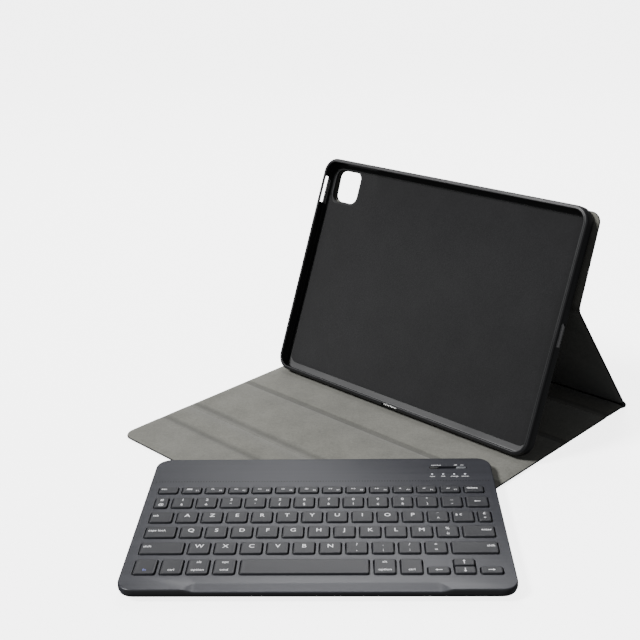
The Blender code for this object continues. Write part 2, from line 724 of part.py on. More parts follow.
def add_bottom(frame):
    """Bottom cover and its four rubber feet."""
    half_x, half_y = KEYBOARD_WIDTH / 2, KEYBOARD_DEPTH / 2
    edge_x, edge_y = half_x - BOTTOM_COVER_STEP, half_y - BOTTOM_COVER_STEP
    add_block("keyboard_bottom", (-edge_x, -edge_y, BOTTOM_COVER_LOW),
              (edge_x, edge_y, BOTTOM_COVER_LOW + BOTTOM_COVER_THICKNESS), "cover_plastic", frame,
              radius=KEYBOARD_CORNER_RADIUS - BOTTOM_COVER_STEP, segments=5)
    pad_x, pad_y = FOOT_PAD_SIZE
    for end, sign_y in (("front", -1), ("back", 1)):
        for side, sign_x in (("left", -1), ("right", 1)):
            x = sign_x * (half_x - FOOT_PAD_FROM_SIDE)
            y = sign_y * (half_y - FOOT_PAD_FROM_EDGE)
            add_block("foot_%s_%s" % (end, side), (x - pad_x / 2, y - pad_y / 2, 0.0),
                      (x + pad_x / 2, y + pad_y / 2, FOOT_PAD_HEIGHT), "rubber", frame,
                      radius=pad_y / 2 - 0.1, segments=3)


def add_keyboard():
    height = COVER_THICKNESS + KEYBOARD_CLEARANCE
    frame = add_empty("keyboard_frame", KEYBOARD_CENTRE + Vector((0, 0, height)),
                      turn=KEYBOARD_TURN)
    openings = bpy.data.collections.new("deck_openings")
    cutters.children.link(openings)
    add_keys(frame, openings)
    add_deck(frame, openings)
    add_controls(frame)
    add_inside(frame)
    add_bottom(frame)


clear_scene()
parts = new_collection(COLLECTION_NAME)
cutters = new_collection("cutters")
add_base()
camera_cutter = add_tray()
add_stand(camera_cutter)
add_keyboard()
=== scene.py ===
"""Looks of the tablet keyboard case: cover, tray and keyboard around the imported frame."""
import json
import math

import bmesh
import bpy
import numpy as np
from mathutils import Matrix, Vector


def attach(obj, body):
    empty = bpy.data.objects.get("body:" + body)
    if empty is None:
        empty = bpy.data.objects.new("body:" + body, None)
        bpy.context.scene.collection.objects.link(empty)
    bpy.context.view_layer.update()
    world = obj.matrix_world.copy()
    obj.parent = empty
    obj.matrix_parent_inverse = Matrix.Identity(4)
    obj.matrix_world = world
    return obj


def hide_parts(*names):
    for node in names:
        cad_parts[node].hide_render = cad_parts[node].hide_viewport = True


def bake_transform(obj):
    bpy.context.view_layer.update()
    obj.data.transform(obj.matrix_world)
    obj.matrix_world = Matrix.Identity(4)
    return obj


MM = 0.001
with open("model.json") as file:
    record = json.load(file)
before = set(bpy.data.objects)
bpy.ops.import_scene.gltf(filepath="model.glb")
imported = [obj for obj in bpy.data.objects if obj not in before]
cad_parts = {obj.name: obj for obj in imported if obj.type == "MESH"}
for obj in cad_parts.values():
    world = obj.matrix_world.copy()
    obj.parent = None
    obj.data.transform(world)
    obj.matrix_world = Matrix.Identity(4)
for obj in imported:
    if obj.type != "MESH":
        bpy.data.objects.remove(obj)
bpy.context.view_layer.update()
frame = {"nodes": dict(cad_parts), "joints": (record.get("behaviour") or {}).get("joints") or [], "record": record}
joints = {joint["name"]: joint for joint in frame["joints"]}
mounts = {mount["name"]: mount for mount in frame["record"]["mounts"]}

# Camera: place in metres, turns in degrees
CAMERA_PLACE = (0.5003, -0.5822, 0.3807)
CAMERA_YAW = 44.51
CAMERA_PITCH = 21.30
CAMERA_ROLL = 1.335
CAMERA_LENS = 61.24

# Cover, in millimetres
HALF_THICK = 1.35
LINING_FLOOR = 0.62
SKIN_TOP = 0.55
EDGE_ROUND = 0.6
LINING_ROUND = 0.25
LINING_INSET = 0.35
PRESS_REACH = 4.0
PRESS_DEPTH = 0.55
CREASE_REACH = 5.5
CREASE_DEPTH = 0.5
GROOVE_DEPTH = 0.55
ROLL_GAP = 3.2
ROLL_RADIUS = 1.9
ROLL_CLEARANCE = 0.05
GROOVE_HALF = 4.0
GROOVE_STEEPNESS = 2.2
GROOVE_PLACES = (0.279, 0.698)
PANEL_CORNER = 8.0
FLAP_CORNER = 9.0
FLAP_TAPER = 0.4
FLAP_PARTS = ("flap_skin", "flap_board", "flap_magnet_left", "flap_magnet_right")

# Tray, in millimetres
WINDOW_RADIUS = 6.0
WINDOW_HALF = 13.0
TRAY_CORNER = 12.0
TRAY_WALL = 1.85
TRAY_BACK_ROUND = 2.2
TRAY_FRONT_ROUND = 1.9
TRAY_LIP = 1.3
LIP_DEPTH = 1.4
BED_DEPTH = 8.7
PORT_HALF = (8.5, 2.5)
SLOT_FROM_CORNER = 16.0
VOLUME_LENGTH = 34.0
POWER_LENGTH = 22.0
CUT_IN = 8.0
CUT_OUT = 5.0
NOTCH_HALF = (7.6, 1.15)
PAD_INSET = 7.0
PAD_CORNER = 6.0

# Keyboard, in millimetres
DECK_CORNER = 10.0
LIP_HALF = 75.0
LIP_FADE = 9.0
LIP_REACH = 6.5
LIP_DROP = 1.7
WALL_TOP_ROUND = 0.8
SLOT_MARGIN = 0.5
DOT_ROW_Y = 46.3
DOT_ROW_HALF = 113.0
DOT_COUNT = 120
DOT_RADIUS = 0.42
LAMP_RADIUS = 0.75
LETTER_SIZE = 5.2
WORD_SIZE = 3.0
PAIR_SIZE = 3.7
SMALL_SIZE = 2.1
INK_BOLD = 0.03
INK_HALF = 0.02
KEY_EDGE = 0.5
KEY_DISH = 0.12
KEY_CORNER = 1.5
KEY_HOLE_GAP = 0.45
KEY_HOLE_FLOOR = 1.1
FUNCTION_WIDTH = 13.25
KEY_WIDTH = 13.6
ROW_WIDTHS = {
    "function_row_keys": [FUNCTION_WIDTH] * 12,
    "number_row_keys": [9.0] + [KEY_WIDTH] * 12,
    "upper_row_keys": [KEY_WIDTH] * 12 + [8.6],
    "home_row_keys": [KEY_WIDTH] * 11,
    "lower_row_keys": [KEY_WIDTH] * 10,
}

# ---------------------------------------------------------------- frames and spans


def axes_matrix(origin, x_axis, y_axis):
    """A local frame from its origin and two of its axes."""
    x_axis = Vector(x_axis).normalized()
    y_axis = Vector(y_axis).normalized()
    z_axis = x_axis.cross(y_axis)
    rotation = Matrix((x_axis, y_axis, z_axis)).transposed().to_4x4()
    return Matrix.Translation(Vector(origin)) @ rotation


def span(node, local):
    """Lowest and highest corners of a CAD node in a local frame, in millimetres."""
    inverse = local.inverted()
    points = [inverse @ vert.co for vert in frame["nodes"][node].data.vertices]
    low = Vector([min(point[i] for point in points) for i in range(3)]) / MM
    high = Vector([max(point[i] for point in points) for i in range(3)]) / MM
    return low, high


def hinge_point(joint):
    return Vector(joints[joint]["pos_m"])


def panel_direction(node, towards):
    """The direction along a flat panel, square to X, on the side of the vector towards."""
    points = np.array([(v.co.y, v.co.z) for v in frame["nodes"][node].data.vertices])
    _, vectors = np.linalg.eigh(np.cov((points - points.mean(0)).T))
    along = Vector((0.0, float(vectors[0, 1]), float(vectors[1, 1])))
    return along if along.dot(towards) > 0 else -along


X_AXIS = Vector((1, 0, 0))
UP = Vector((0, 0, 1))
bed_normal = Vector(mounts["tablet_bed"]["axis"])
tray_up = bed_normal.cross(X_AXIS)
tray_frame = axes_matrix(hinge_point("case_close_tray_tilt"), X_AXIS, tray_up)
base_middle = hinge_point("case_close_spine_fold").z
crease_r = hinge_point("case_close_strut_fold")
back_up = panel_direction("back_panel_skin", UP)
strut_down = panel_direction("strut_skin", -UP)
back_frame = axes_matrix(crease_r, X_AXIS, back_up)
strut_frame = axes_matrix(crease_r, X_AXIS, strut_down)
key_right = -Vector(joints["slide_power"]["axis"])
key_back = UP.cross(key_right)
keyboard_frame = axes_matrix((0, 0, 0), key_right, key_back)
deck_low, deck_high = span("keyboard_deck", keyboard_frame)
deck_middle = (deck_low + deck_high) / 2
keyboard_frame = keyboard_frame @ Matrix.Translation(Vector((*deck_middle.xy, 0.0)) * MM)
deck_low, deck_high = span("keyboard_deck", keyboard_frame)

# ---------------------------------------------------------------- materials


class Nodes:
    """Short words for building a node material."""

    def __init__(self, name):
        self.material = bpy.data.materials.new(name)
        self.material.use_nodes = True
        self.tree = self.material.node_tree
        self.shader = self.tree.nodes["Principled BSDF"]
        coordinates = self.tree.nodes.new("ShaderNodeTexCoord")
        self.place = coordinates.outputs["Object"]

    def set(self, **values):
        for key, value in values.items():
            self.shader.inputs[key.replace("_", " ")].default_value = value
        return self

    def link(self, source, node, socket):
        self.tree.links.new(source, node.inputs[socket])

    def mapped(self, scale, turn=0.0):
        node = self.tree.nodes.new("ShaderNodeMapping")
        node.vector_type = "TEXTURE"
        node.inputs["Scale"].default_value = [1 / share for share in scale]
        node.inputs["Rotation"].default_value = (0.0, 0.0, turn)
        self.link(self.place, node, "Vector")
        return node.outputs["Vector"]

    def noise(self, scale, detail=4.0, roughness=0.55, vector=None):
        node = self.tree.nodes.new("ShaderNodeTexNoise")
        node.inputs["Scale"].default_value = scale
        node.inputs["Detail"].default_value = detail
        node.inputs["Roughness"].default_value = roughness
        self.link(vector or self.place, node, "Vector")
        return node.outputs["Fac"]

    def cells(self, scale):
        node = self.tree.nodes.new("ShaderNodeTexVoronoi")
        node.inputs["Scale"].default_value = scale
        self.link(self.place, node, "Vector")
        return node.outputs["Distance"]

    def ramp(self, source, low, high, first, second):
        node = self.tree.nodes.new("ShaderNodeMapRange")
        node.inputs["From Min"].default_value = low
        node.inputs["From Max"].default_value = high
        node.inputs["To Min"].default_value = first
        node.inputs["To Max"].default_value = second
        self.link(source, node, "Value")
        return node.outputs["Result"]

    def mix(self, factor, first, second):
        node = self.tree.nodes.new("ShaderNodeMix")
        node.data_type = "RGBA"
        node.inputs["A"].default_value = (*first, 1.0)
        node.inputs["B"].default_value = (*second, 1.0)
        self.link(factor, node, "Factor")
        return node.outputs["Result"]

    def wear(self):
        node = self.tree.nodes.new("ShaderNodeAttribute")
        node.attribute_name = "wear"
        return node.outputs["Fac"]

    def darken(self, colour, share):
        node = self.tree.nodes.new("ShaderNodeVectorMath")
        node.operation = "SCALE"
        self.link(colour, node, 0)
        self.link(share, node, "Scale")
        return node.outputs["Vector"]

    def add(self, first, second, share):
        node = self.tree.nodes.new("ShaderNodeMath")
        node.operation = "MULTIPLY_ADD"
        node.inputs[1].default_value = share
        self.link(second, node, 0)
        self.link(first, node, 2)
        return node.outputs["Value"]

    def colour(self, source):
        self.link(source, self.shader, "Base Color")

    def rough(self, source):
        self.link(source, self.shader, "Roughness")

    def bump(self, height, distance, strength=1.0):
        node = self.tree.nodes.new("ShaderNodeBump")
        node.inputs["Distance"].default_value = distance
        node.inputs["Strength"].default_value = strength
        self.link(height, node, "Height")
        self.link(node.outputs["Normal"], self.shader, "Normal")


def leather_material():
    """Near-black synthetic leather: fine pebbled grain and faint rubbed patches."""
    nodes = Nodes("pu_leather").set(IOR=1.45)
    pebbles = nodes.cells(1500.0)
    fine = nodes.noise(2600.0, 2.0)
    broad = nodes.noise(14.0, 5.0, 0.6)
    nodes.colour(nodes.mix(nodes.ramp(broad, 0.3, 0.7, 0.0, 1.0),
                           (0.0100, 0.0103, 0.0112), (0.0150, 0.0153, 0.0163)))
    nodes.rough(nodes.ramp(nodes.add(fine, broad, 1.0), 0.6, 1.5, 0.42, 0.6))
    nodes.bump(nodes.add(fine, pebbles, 1.6), 0.00009, 0.55)
    return nodes.material


def microfibre_material(name, low, high):
    """Short pile: cloudy nap, tiny fibres and a soft sheen, with painted shade darkening it in pressed grooves and
    creases.
    """
    nodes = Nodes(name).set(Sheen_Weight=0.25, Sheen_Roughness=0.5, IOR=1.35)
    clouds = nodes.noise(38.0, 6.0, 0.65)
    fibres = nodes.noise(1500.0, 3.0, 0.7, nodes.mapped((1.0, 0.45, 1.0), 0.5))
    speck = nodes.noise(520.0, 3.0, 0.7)
    tone = nodes.add(nodes.add(clouds, fibres, 0.8), speck, 0.9)
    pile = nodes.mix(nodes.ramp(tone, 0.95, 1.75, 0.0, 1.0), low, high)
    # Painted shade: the wear attribute darkens the pile down to 62 % in grooves and creases.
    nodes.colour(nodes.darken(pile, nodes.ramp(nodes.wear(), 0.0, 1.0, 1.0, 0.62)))
    nodes.set(Roughness=0.95)
    nodes.bump(nodes.add(fibres, speck, 0.7), 0.00025, 0.6)
    return nodes.material


def shell_material():
    """Black moulded plastic with a fine spark-eroded texture."""
    nodes = Nodes("tray_plastic").set(IOR=1.42)
    grain = nodes.noise(2200.0, 3.0, 0.6)
    broad = nodes.noise(22.0, 4.0)
    nodes.colour(nodes.mix(broad, (0.0050, 0.0051, 0.0058), (0.0085, 0.0086, 0.0098)))
    nodes.rough(nodes.ramp(broad, 0.3, 0.7, 0.42, 0.54))
    nodes.bump(grain, 0.00004, 0.45)
    return nodes.material


def deck_material(name, low, high, roughness, strength):
    """Slate plastic with long hairlines and broader streaks that run along the keyboard."""
    nodes = Nodes(name).set(IOR=1.5, Metallic=0.15)
    turn = math.atan2(key_right.y, key_right.x)
    hairline = nodes.noise(1.0, 3.0, 0.7, nodes.mapped((14.0, 2600.0, 14.0), turn))
    streak = nodes.noise(1.0, 5.0, 0.75, nodes.mapped((3.5, 420.0, 3.5), turn))
    broad = nodes.noise(9.0, 3.0)
    tone = nodes.add(nodes.add(broad, hairline, 0.8), streak, 2.2)
    nodes.colour(nodes.mix(nodes.ramp(tone, 1.45, 2.55, 0.0, 1.0), low, high))
    nodes.rough(nodes.ramp(nodes.add(hairline, streak, 1.0), 0.7, 1.3, roughness,
                           roughness + 0.14))
    nodes.bump(nodes.add(hairline, streak, 1.0), 0.00003, strength)
    return nodes.material


def key_material():
    nodes = Nodes("key_plastic").set(IOR=1.48)
    grain = nodes.noise(2400.0, 3.0, 0.6)
    broad = nodes.noise(30.0, 4.0)
    nodes.colour(nodes.mix(broad, (0.0145, 0.0150, 0.0185), (0.0210, 0.0215, 0.0255)))
    nodes.rough(nodes.ramp(grain, 0.3, 0.7, 0.42, 0.54))
    nodes.bump(grain, 0.00004, 0.4)
    return nodes.material


def speckled(name, low, high, roughness, scale=1800.0, metallic=0.0):
    """A plain moulded, rubbery or metal surface with a fine grain."""
    nodes = Nodes(name).set(Metallic=metallic)
    grain = nodes.noise(scale, 3.0, 0.6)
    broad = nodes.noise(40.0, 4.0)
    nodes.colour(nodes.mix(broad, low, high))
    nodes.rough(nodes.ramp(grain, 0.3, 0.7, roughness - 0.05, roughness + 0.08))
    nodes.bump(grain, 0.00004, 0.4)
    return nodes.material


materials = {
    "skin": leather_material(),
    "lining": microfibre_material("microfibre", (0.096, 0.095, 0.082), (0.168, 0.166, 0.146)),
    "pad": microfibre_material("bed_pad", (0.0060, 0.0060, 0.0066), (0.0120, 0.0120, 0.0128)),
    "tray": shell_material(),
    "deck": deck_material("deck_slate", (0.019, 0.020, 0.025), (0.037, 0.038, 0.046), 0.30, 0.5),
    "key": key_material(),
    "legend": speckled("legend_ink", (0.78, 0.78, 0.80), (0.88, 0.88, 0.90), 0.5),
    "legend_blue": speckled("legend_blue_ink", (0.13, 0.15, 0.42), (0.18, 0.20, 0.52), 0.5),
    "steel": speckled("bright_steel", (0.60, 0.60, 0.58), (0.72, 0.72, 0.70), 0.26, 900.0, 1.0),
    "dark_hole": speckled("hole_floor", (0.004, 0.004, 0.005), (0.008, 0.008, 0.009), 0.7),
    "rubber": speckled("foot_rubber", (0.012, 0.012, 0.012), (0.02, 0.02, 0.02), 0.75),
    "bottom": speckled("bottom_plastic", (0.013, 0.013, 0.015), (0.021, 0.021, 0.023), 0.55),
    "switch": speckled("switch_plastic", (0.09, 0.095, 0.105), (0.14, 0.145, 0.155), 0.35),
    "lamp": speckled("light_pipe", (0.66, 0.68, 0.74), (0.80, 0.82, 0.86), 0.2),
    "inner": speckled("hidden_parts", (0.10, 0.11, 0.11), (0.18, 0.18, 0.18), 0.6),
}

# ---------------------------------------------------------------- mesh building


def finish_piece(name, bm, kind, local=None, smooth=40.0):
    """Turns a bmesh in millimetres into an object placed by its local frame."""
    bmesh.ops.recalc_face_normals(bm, faces=bm.faces)
    bmesh.ops.scale(bm, vec=(MM, MM, MM), verts=bm.verts)
    if local:
        bmesh.ops.transform(bm, matrix=local, verts=bm.verts)
    mesh = bpy.data.meshes.new(name)
    bm.to_mesh(mesh)
    bm.free()
    mesh.materials.append(materials[kind])
    mesh.shade_smooth()
    mesh.set_sharp_from_angle(angle=math.radians(smooth))
    piece = bpy.data.objects.new(name, mesh)
    bpy.context.scene.collection.objects.link(piece)
    return piece


def loft(bm, loops):
    """Quads between loops of equally many points, closed at both ends."""
    rings = [[bm.verts.new(point) for point in loop] for loop in loops]
    for ring, following in zip(rings, rings[1:]):
        count = len(ring)
        for i in range(count):
            j = (i + 1) % count
            bm.faces.new((ring[i], ring[j], following[j], following[i]))
    bm.faces.new(list(reversed(rings[0])))
    bm.faces.new(rings[-1])


def circle(x, y, radius, count):
    return [(x + radius * math.cos(math.tau * i / count),
             y + radius * math.sin(math.tau * i / count)) for i in range(count)]


def plate(bm, points, bottom, top):
    """A flat shape of one outline, closed all round."""
    loft(bm, [[(x, y, height) for x, y in points] for height in (bottom, top)])


def outline(low, high, radii, inset=0.0, steps=6, flush=None):
    """Points round a rectangle with rounded corners, from the front left corner on.

    The side named by flush, "low" or "high" along Y, keeps its place whatever the inset.
    """
    x0, x1 = low[0] + inset, high[0] - inset
    y0 = low[1] + (0.0 if flush == "low" else inset)
    y1 = high[1] - (0.0 if flush == "high" else inset)
    points = []
    corners = ((x0, y0, 1, 1, 180), (x1, y0, -1, 1, 270), (x1, y1, -1, -1, 0), (x0, y1, 1, -1, 90))
    for (x, y, sign_x, sign_y, start), radius in zip(corners, radii):
        radius = max(radius - inset, 0.03)
        for step in range(steps + 1):
            angle = math.radians(start + 90 * step / steps)
            points.append((x + sign_x * radius + radius * math.cos(angle),
                           y + sign_y * radius + radius * math.sin(angle)))
    return points


def rounding(bottom, top, radius, steps=3):
    """(inset, z) of a side wall with rounded lower and upper edges."""
    layers = []
    for step in range(steps + 1):
        angle = math.radians(90 * step / steps)
        layers.append((radius * (1 - math.sin(angle)), bottom + radius * (1 - math.cos(angle))))
    for step in range(steps + 1):
        angle = math.radians(90 * step / steps)
        layers.append((radius * (1 - math.cos(angle)), top - radius * (1 - math.sin(angle))))
    return layers


def edge_layers(bottom, top, radius, press):
    """Like rounding, with the bottom and the top pressed in near the edge."""
    shares = (1.0, 0.85, 0.7, 0.5, 0.3)
    insets = [max(PRESS_REACH * share, radius * 1.05) for share in shares]
    layers = [(inset, bottom + press[0] * pressed(inset)) for inset in insets]
    layers += rounding(bottom + press[0], top - press[1], radius)
    layers += [(inset, top - press[1] * pressed(inset)) for inset in reversed(insets)]
    return layers


def slab(bm, low, high, radii, layers, steps=6, shape=None, flush=None):
    loops = []
    for inset, z in layers:
        loop = [(x, y, z) for x, y in outline(low, high, radii, inset, steps, flush)]
        loops.append([shape(point) for point in loop] if shape else loop)
    loft(bm, loops)


def pressed(distance):
    """How far a panel is pressed down this close to its edge, from 1 to 0."""
    t = min(max(distance / PRESS_REACH, 0.0), 1.0)
    return 1 - t * t * (3 - 2 * t)


def profile_piece(name, kind, stations, low_x, high_x, local, round_by, press=(0.0, 0.0)):
    """A strip along X whose section follows stations of (centre, normal, bottom, top, wear), the last being
    painted shade for grooves and creases.

    press is how far the bottom and the top are pressed in along the side edges.
    """
    tops = [centre + normal * top for centre, normal, bottom, top, wear in stations]
    bottoms = [centre + normal * bottom for centre, normal, bottom, top, wear in stations]
    normals = [normal for centre, normal, bottom, top, wear in stations]
    half = [(top - bottom) / 2 for centre, normal, bottom, top, wear in stations]
    crease_shades = [wear for centre, normal, bottom, top, wear in stations]
    distances = [round_by * (1 - math.cos(math.radians(30 * step))) for step in range(4)]
    shrinks = [round_by * (1 - math.sin(math.radians(30 * step))) for step in range(4)]
    for share in (0.3, 0.5, 0.7, 0.85, 1.0):
        distances.append(max(PRESS_REACH * share, round_by * 1.05))
        shrinks.append(0.0)
    places = [(low_x + distance, shrink, pressed(distance))
              for distance, shrink in zip(distances, shrinks)]
    places += [(low_x + high_x - x, shrink, share) for x, shrink, share in reversed(places)]
    bm = bmesh.new()
    loops = []
    for x, shrink, share in places:
        raised, lowered = press[0] * share, press[1] * share
        limits = [max(reach - (raised + lowered) / 2, 0.02) for reach in half]
        upper = [point - normal * (lowered + min(shrink, limit * 0.98))
                 for point, normal, limit in zip(tops, normals, limits)]
        lower = [point + normal * (raised + min(shrink, limit * 0.98))
                 for point, normal, limit in zip(bottoms, normals, limits)]
        loops.append([(x, point.x, point.y) for point in upper + lower[::-1]])
    loft(bm, loops)
    piece = finish_piece(name, bm, kind, local)
    # Painted shade: the wear attribute carries how far each station is shaded in grooves and creases.
    attribute = piece.data.attributes.new("wear", "FLOAT", "POINT")
    attribute.data.foreach_set("value", (crease_shades + crease_shades[::-1]) * len(places))
    return piece


def flat_stations(start, end, bottom, top, marks=()):
    """Stations of a flat panel; marks are (place, half width, depth) pressed into its top, with painted shade in
    them.
    """
    places = {start, start + 0.3, end - 0.3, end}
    for place, half, depth in marks:
        for step in range(-8, 9):
            places.add(place + half * step / 8)
    stations = []
    for y in sorted(places):
        sunk = wear = 0.0
        for place, half, depth in marks:
            share = min(max((1 - abs(y - place) / half) * GROOVE_STEEPNESS, 0.0), 1.0)
            share = share * share * (3 - 2 * share)
            sunk += depth * share
            # Painted shade: the groove is shaded as far as it sinks.
            wear += share
        edge = 0.18 if y in (start, end) else 0.0
        stations.append((Vector((y, 0.0)), Vector((0.0, 1.0)), bottom + edge, top - edge - sunk,
                         wear))
    return stations


def bend_stations(start, corner, end, bottom, top, depth_low, depth_high, count=16):
    """Stations along the smooth bend from start to end round corner, thinner half way, with painted shade darkest
    there.
    """
    stations = []
    for index in range(count + 1):
        t = index / count
        place = start * (1 - t) ** 2 + corner * (2 * t * (1 - t)) + end * t ** 2
        tangent = ((corner - start) * (1 - t) + (end - corner) * t).normalized()
        normal = Vector((-tangent.y, tangent.x))
        press = math.sin(math.pi * t) ** 2
        # press also sets the painted crease shade, darkest half way round the bend.
        stations.append((place, normal, bottom + depth_low * press, top - depth_high * press,
                         press))
    return stations


# ---------------------------------------------------------------- folding cover

# Per ply: bottom, top, edge rounding, (pressed from below, pressed from above)
SKIN_PLY = (-HALF_THICK, SKIN_TOP, EDGE_ROUND, (PRESS_DEPTH, 0.0))
LINING_PLY = (LINING_FLOOR, HALF_THICK, LINING_ROUND, (0.0, PRESS_DEPTH))
cover_low, cover_high = span("front_cover_skin", Matrix.Identity(4))
SKIN_X = (cover_low.x, cover_high.x)
LINING_X = (cover_low.x + LINING_INSET, cover_high.x - LINING_INSET)
base_frame = Matrix.Translation((0, 0, base_middle))


def ply(name, kind, stations, local=None):
    """One ply of a panel: the skin over the full width, the lining a little inside it."""
    bottom, top, round_by, press = SKIN_PLY if kind == "skin" else LINING_PLY
    reach = SKIN_X if kind == "skin" else LINING_X
    return profile_piece(name, kind, stations, *reach, local, round_by, press)


def flat_panel(prefix, local, start, end, body, turned=False, marks=()):
    """Skin and lining of a flat panel; turned where the skin is on the local +Z side."""
    if turned:
        local = local @ Matrix.Rotation(math.pi, 4, "Y")
    skin = ply(prefix + "_outer", "skin", flat_stations(start, end, *SKIN_PLY[:2]), local)
    lining = ply(prefix + "_inner", "lining", flat_stations(start, end, *LINING_PLY[:2], marks),
                 local)
    board = [prefix + "_board"] if prefix + "_board" in frame["nodes"] else []
    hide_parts(prefix + "_skin", *board)
    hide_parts(prefix + "_lining")
    for piece in (skin, lining):
        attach(piece, body)


def crease(name, start, corner, end):
    """Skin and lining across a fold."""
    flat = [Vector((point.y, point.z)) / MM for point in (start, corner, end)]
    for suffix, kind, thin in (("_outer", "skin", (CREASE_DEPTH * 0.8, 0.1)),
                               ("_inner", "lining", (-0.1, CREASE_DEPTH))):
        bottom, top = (SKIN_PLY if kind == "skin" else LINING_PLY)[:2]
        piece = ply(name + suffix, kind, bend_stations(*flat, bottom, top, *thin))
        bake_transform(piece)


def panel_ends(node, local):
    low, high = span(node, local)
    return low.y, high.y


def make_cover():
    reach = CREASE_REACH
    spine_y = hinge_point("case_close_spine_fold").y / MM
    strip_y = hinge_point("keyboard_lift_strip_fold").y / MM
    flap_y = hinge_point("keyboard_lift_flap_fold").y / MM
    low_y, high_y = panel_ends("front_cover_skin", base_frame)
    length = high_y - low_y
    marks = [(low_y + share * length, GROOVE_HALF, GROOVE_DEPTH) for share in GROOVE_PLACES]
    flat_panel("front_cover", base_frame, strip_y + reach, spine_y - reach, "front_cover",
               marks=marks)
    spine_end = panel_ends("spine_skin", base_frame)[1]
    flat_panel("spine", base_frame, spine_y + reach, spine_end, "spine")
    strut_end = panel_ends("strut_skin", strut_frame)[1]
    flat_panel("strut", strut_frame, reach, strut_end, "strut", turned=True)
    flat_panel("edge_strip", base_frame, flap_y + reach, strip_y - reach, "edge_strip")

    def on_base(y):
        return Vector((0, y * MM, base_middle))

    for name, first, second, place in (("spine_crease", "front_cover", "spine", spine_y),
                                       ("strip_crease", "edge_strip", "front_cover", strip_y),
                                       ("flap_crease", "flap", "edge_strip", flap_y)):
        crease(name, on_base(place - reach), on_base(place),
               on_base(place + reach))
    crease("back_crease", crease_r + strut_down * reach * MM, crease_r,
           crease_r + back_up * reach * MM)
    make_flap(flap_y - reach)
    make_back_panel(reach)
    make_open_pivot(spine_end)


def make_flap(root_y):
    tip = panel_ends("flap_skin", base_frame)[0]

    def narrow(point):
        x, y, z = point
        share = max((root_y - y) / (root_y - tip), 0.0)
        return (x - math.copysign(FLAP_TAPER * share, x), y, z)

    radii = (FLAP_CORNER, FLAP_CORNER, 0.0, 0.0)
    for suffix, kind, inset, nodes in (("_outer", "skin", 0.0, FLAP_PARTS),
                                       ("_inner", "lining", LINING_INSET, ("flap_lining",))):
        layers = edge_layers(*(SKIN_PLY if kind == "skin" else LINING_PLY))
        bm = bmesh.new()
        slab(bm, (SKIN_X[0] + inset, tip + inset), (SKIN_X[1] - inset, root_y), radii, layers, 8,
             narrow, "high")
        piece = finish_piece("flap" + suffix, bm, kind, base_frame)
        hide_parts(*nodes)
        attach(piece, "flap")


def rounded_cutter(name, low, high, radius, local, steps=6):
    """A hidden block with rounded upright corners, used to cut an opening."""
    bm = bmesh.new()
    slab(bm, low[:2], high[:2], (radius,) * 4, ((0.0, low[2]), (0.0, high[2])), steps)
    return finish_piece("cutter_" + name, bm, "dark_hole", local)


def cut_and_remove(piece, cutters):
    """Cuts the cutters out of piece, applies the cuts and removes the cutters."""
    for cutter in cutters:
        modifier = piece.modifiers.new("cut", "BOOLEAN")
        modifier.operation = "DIFFERENCE"
        modifier.object = cutter
        modifier.solver = "EXACT"
    bpy.context.view_layer.update()
    evaluated = piece.evaluated_get(bpy.context.evaluated_depsgraph_get())
    mesh = bpy.data.meshes.new_from_object(evaluated)
    piece.modifiers.clear()
    piece.data = mesh
    mesh.set_sharp_from_angle(angle=math.radians(40))
    for cutter in cutters:
        bpy.data.objects.remove(cutter, do_unlink=True)


def camera_opening():
    """Middle, in the tray's frame, of the window for the back camera."""
    boxes = [opening for opening in frame["record"]["physics"]["openings"]
             if opening["name"] == "camera_window"]
    low, high = (Vector(corner) for corner in boxes[0]["box_m"])
    return tray_frame.inverted() @ ((low + high) / 2) / MM


def window_cutter(name, spare):
    centre = camera_opening()
    half = WINDOW_HALF + spare
    return rounded_cutter(name, (centre.x - half, centre.y - half, centre.z - 12.0),
                          (centre.x + half, centre.y + half, centre.z + 5.0),
                          WINDOW_RADIUS + spare, tray_frame)


def make_back_panel(root_y):
    end_y = panel_ends("back_panel_skin", back_frame)[1]
    radii = (0.0, 0.0, PANEL_CORNER, PANEL_CORNER)
    for suffix, kind, inset, nodes in (
            ("_outer", "skin", 0.0, ("back_panel_skin", "back_panel_board")),
            ("_inner", "lining", LINING_INSET, ("back_panel_lining",))):
        layers = edge_layers(*(SKIN_PLY if kind == "skin" else LINING_PLY))
        bm = bmesh.new()
        slab(bm, (SKIN_X[0] + inset, root_y), (SKIN_X[1] - inset, end_y - inset), radii, layers,
             8, None, "low")
        piece = finish_piece("back_panel" + suffix, bm, kind, back_frame)
        cut_and_remove(piece, [window_cutter("back_window" + suffix, 0.0)])
        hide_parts(*nodes)
        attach(piece, "tray")


def make_open_pivot(spine_end):
    """Rolled leather edges that meet where the spine and the strut fold together."""
    centre = Vector((spine_end + ROLL_GAP, base_middle / MM))
    for name, body, back, radius in (
            ("spine_roll", "spine", Vector((0, -1, 0)), ROLL_RADIUS),
            ("strut_roll", "strut", -strut_down, ROLL_RADIUS - ROLL_CLEARANCE)):
        along = Vector((back.y, back.z))
        normal = Vector((-along.y, along.x))
        stations = []
        for step in range(9):
            angle = math.radians(90 - 90 * step / 8)
            stations.append((centre - along * radius * math.sin(angle), normal,
                             -radius * math.cos(angle) - 0.02, radius * math.cos(angle) + 0.02,
                             0.0))
        stations.append((centre + along * (ROLL_GAP + 1.0), normal, -HALF_THICK + 0.03,
                         HALF_THICK - 0.03, 0.0))
        piece = profile_piece(name, "skin", stations, *SKIN_X, None, EDGE_ROUND)
        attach(piece, body)


make_cover()

# ---------------------------------------------------------------- tray


